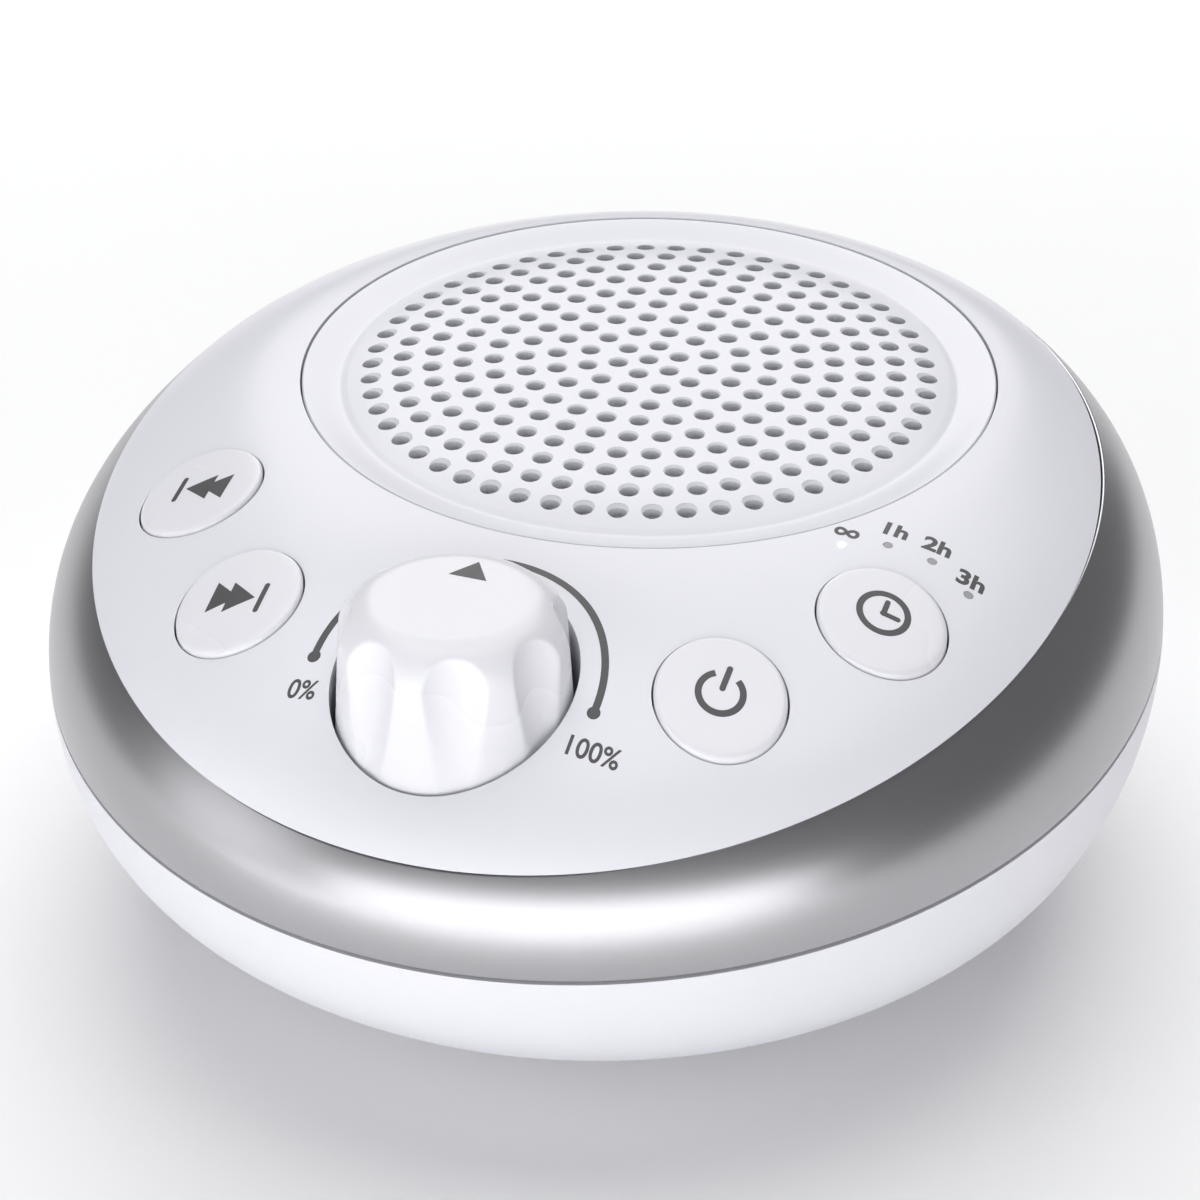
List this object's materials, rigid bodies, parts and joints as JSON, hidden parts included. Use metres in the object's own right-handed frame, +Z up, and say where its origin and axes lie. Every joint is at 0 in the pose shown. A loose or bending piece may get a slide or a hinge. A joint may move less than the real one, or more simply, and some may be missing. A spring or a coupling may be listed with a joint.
{
  "type": "white noise sound machine",
  "caption": "Low round bedside sound machine with a perforated speaker top, a fluted volume knob on a sloping panel, push buttons beside it and a metallic band.",
  "frame": {"origin": "on the table, under the middle of the body's outer box", "axes": "+Z up, -Y towards the front with the volume knob, +X to the right seen from the front"},
  "size_m": [0.119, 0.1243, 0.0553],
  "materials": {
    "base_plastic": "satin white moulded plastic",
    "band_plastic": "satin silver-grey metallic paint on plastic",
    "panel_plastic": "white semi-gloss moulded plastic",
    "grille_plastic": "white semi-gloss perforated plastic",
    "grille_cloth": "fine grey acoustic cloth",
    "knob_plastic": "white semi-gloss plastic",
    "button_plastic": "white semi-gloss plastic",
    "switch_plunger": "black plastic",
    "switch_body": "stamped steel cover",
    "potentiometer_metal": "stamped steel",
    "shaft_metal": "turned aluminium",
    "led_glass": "clear over yellow phosphor",
    "light_guide": "clear acrylic",
    "circuit_board": "green solder mask",
    "chip_plastic": "black epoxy",
    "capacitor_sleeve": "dark sleeve",
    "screw_steel": "zinc plated",
    "socket_plastic": "black plastic",
    "speaker_steel": "black painted stamped steel",
    "magnet_iron": "dark ferrite and steel",
    "cone_paper": "black pressed paper",
    "surround_rubber": "black rubber roll",
    "gasket_foam": "black foam",
    "foot_rubber": "dark grey rubber"
  },
  "bodies": {
    "housing": {"base_shell": "base_plastic", "board_screws": "screw_steel", "capacitors": "capacitor_sleeve", "control_board": "circuit_board", "grille_cloth": "grille_cloth", "headphone_socket": "socket_plastic", "housing_screws": "screw_steel", "main_board": "circuit_board", "potentiometer_body": "potentiometer_metal", "power_inlet": "socket_plastic", "rubber_feet": "foot_rubber", "sound_chip": "chip_plastic", "speaker_cone": "cone_paper", "speaker_dust_cap": "cone_paper", "speaker_frame": "speaker_steel", "speaker_gasket": "gasket_foam", "speaker_grille": "grille_plastic", "speaker_magnet": "magnet_iron", "speaker_screws": "screw_steel", "speaker_surround": "surround_rubber", "tact_switches": "switch_body", "timer_leds": "led_glass", "timer_light_guide": "light_guide", "top_panel": "panel_plastic", "trim_band": "band_plastic"},
    "volume_control": {"volume_knob": "knob_plastic", "potentiometer_shaft": "shaft_metal"},
    "previous_key": {"previous_button": "button_plastic", "previous_plunger": "switch_plunger"},
    "next_key": {"next_button": "button_plastic", "next_plunger": "switch_plunger"},
    "power_key": {"power_button": "button_plastic", "power_plunger": "switch_plunger"},
    "timer_key": {"timer_button": "button_plastic", "timer_plunger": "switch_plunger"}
  },
  "joints": [
    {"name": "volume_turn", "type": "hinge", "parent": "housing", "child": "volume_control", "pos_m": [0, -0.0432, 0.045], "axis": [0, 0, 1], "range_deg": [-90, 90]},
    {"name": "previous_press", "type": "slide", "parent": "housing", "child": "previous_key", "axis": [0, 0, -1], "range_m": [0, 0.0004], "stiffness_N_per_m": 400},
    {"name": "next_press", "type": "slide", "parent": "housing", "child": "next_key", "axis": [0, 0, -1], "range_m": [0, 0.0004], "stiffness_N_per_m": 400},
    {"name": "power_press", "type": "slide", "parent": "housing", "child": "power_key", "axis": [0, 0, -1], "range_m": [0, 0.0004], "stiffness_N_per_m": 400},
    {"name": "timer_press", "type": "slide", "parent": "housing", "child": "timer_key", "axis": [0, 0, -1], "range_m": [0, 0.0004], "stiffness_N_per_m": 400}
  ]
}
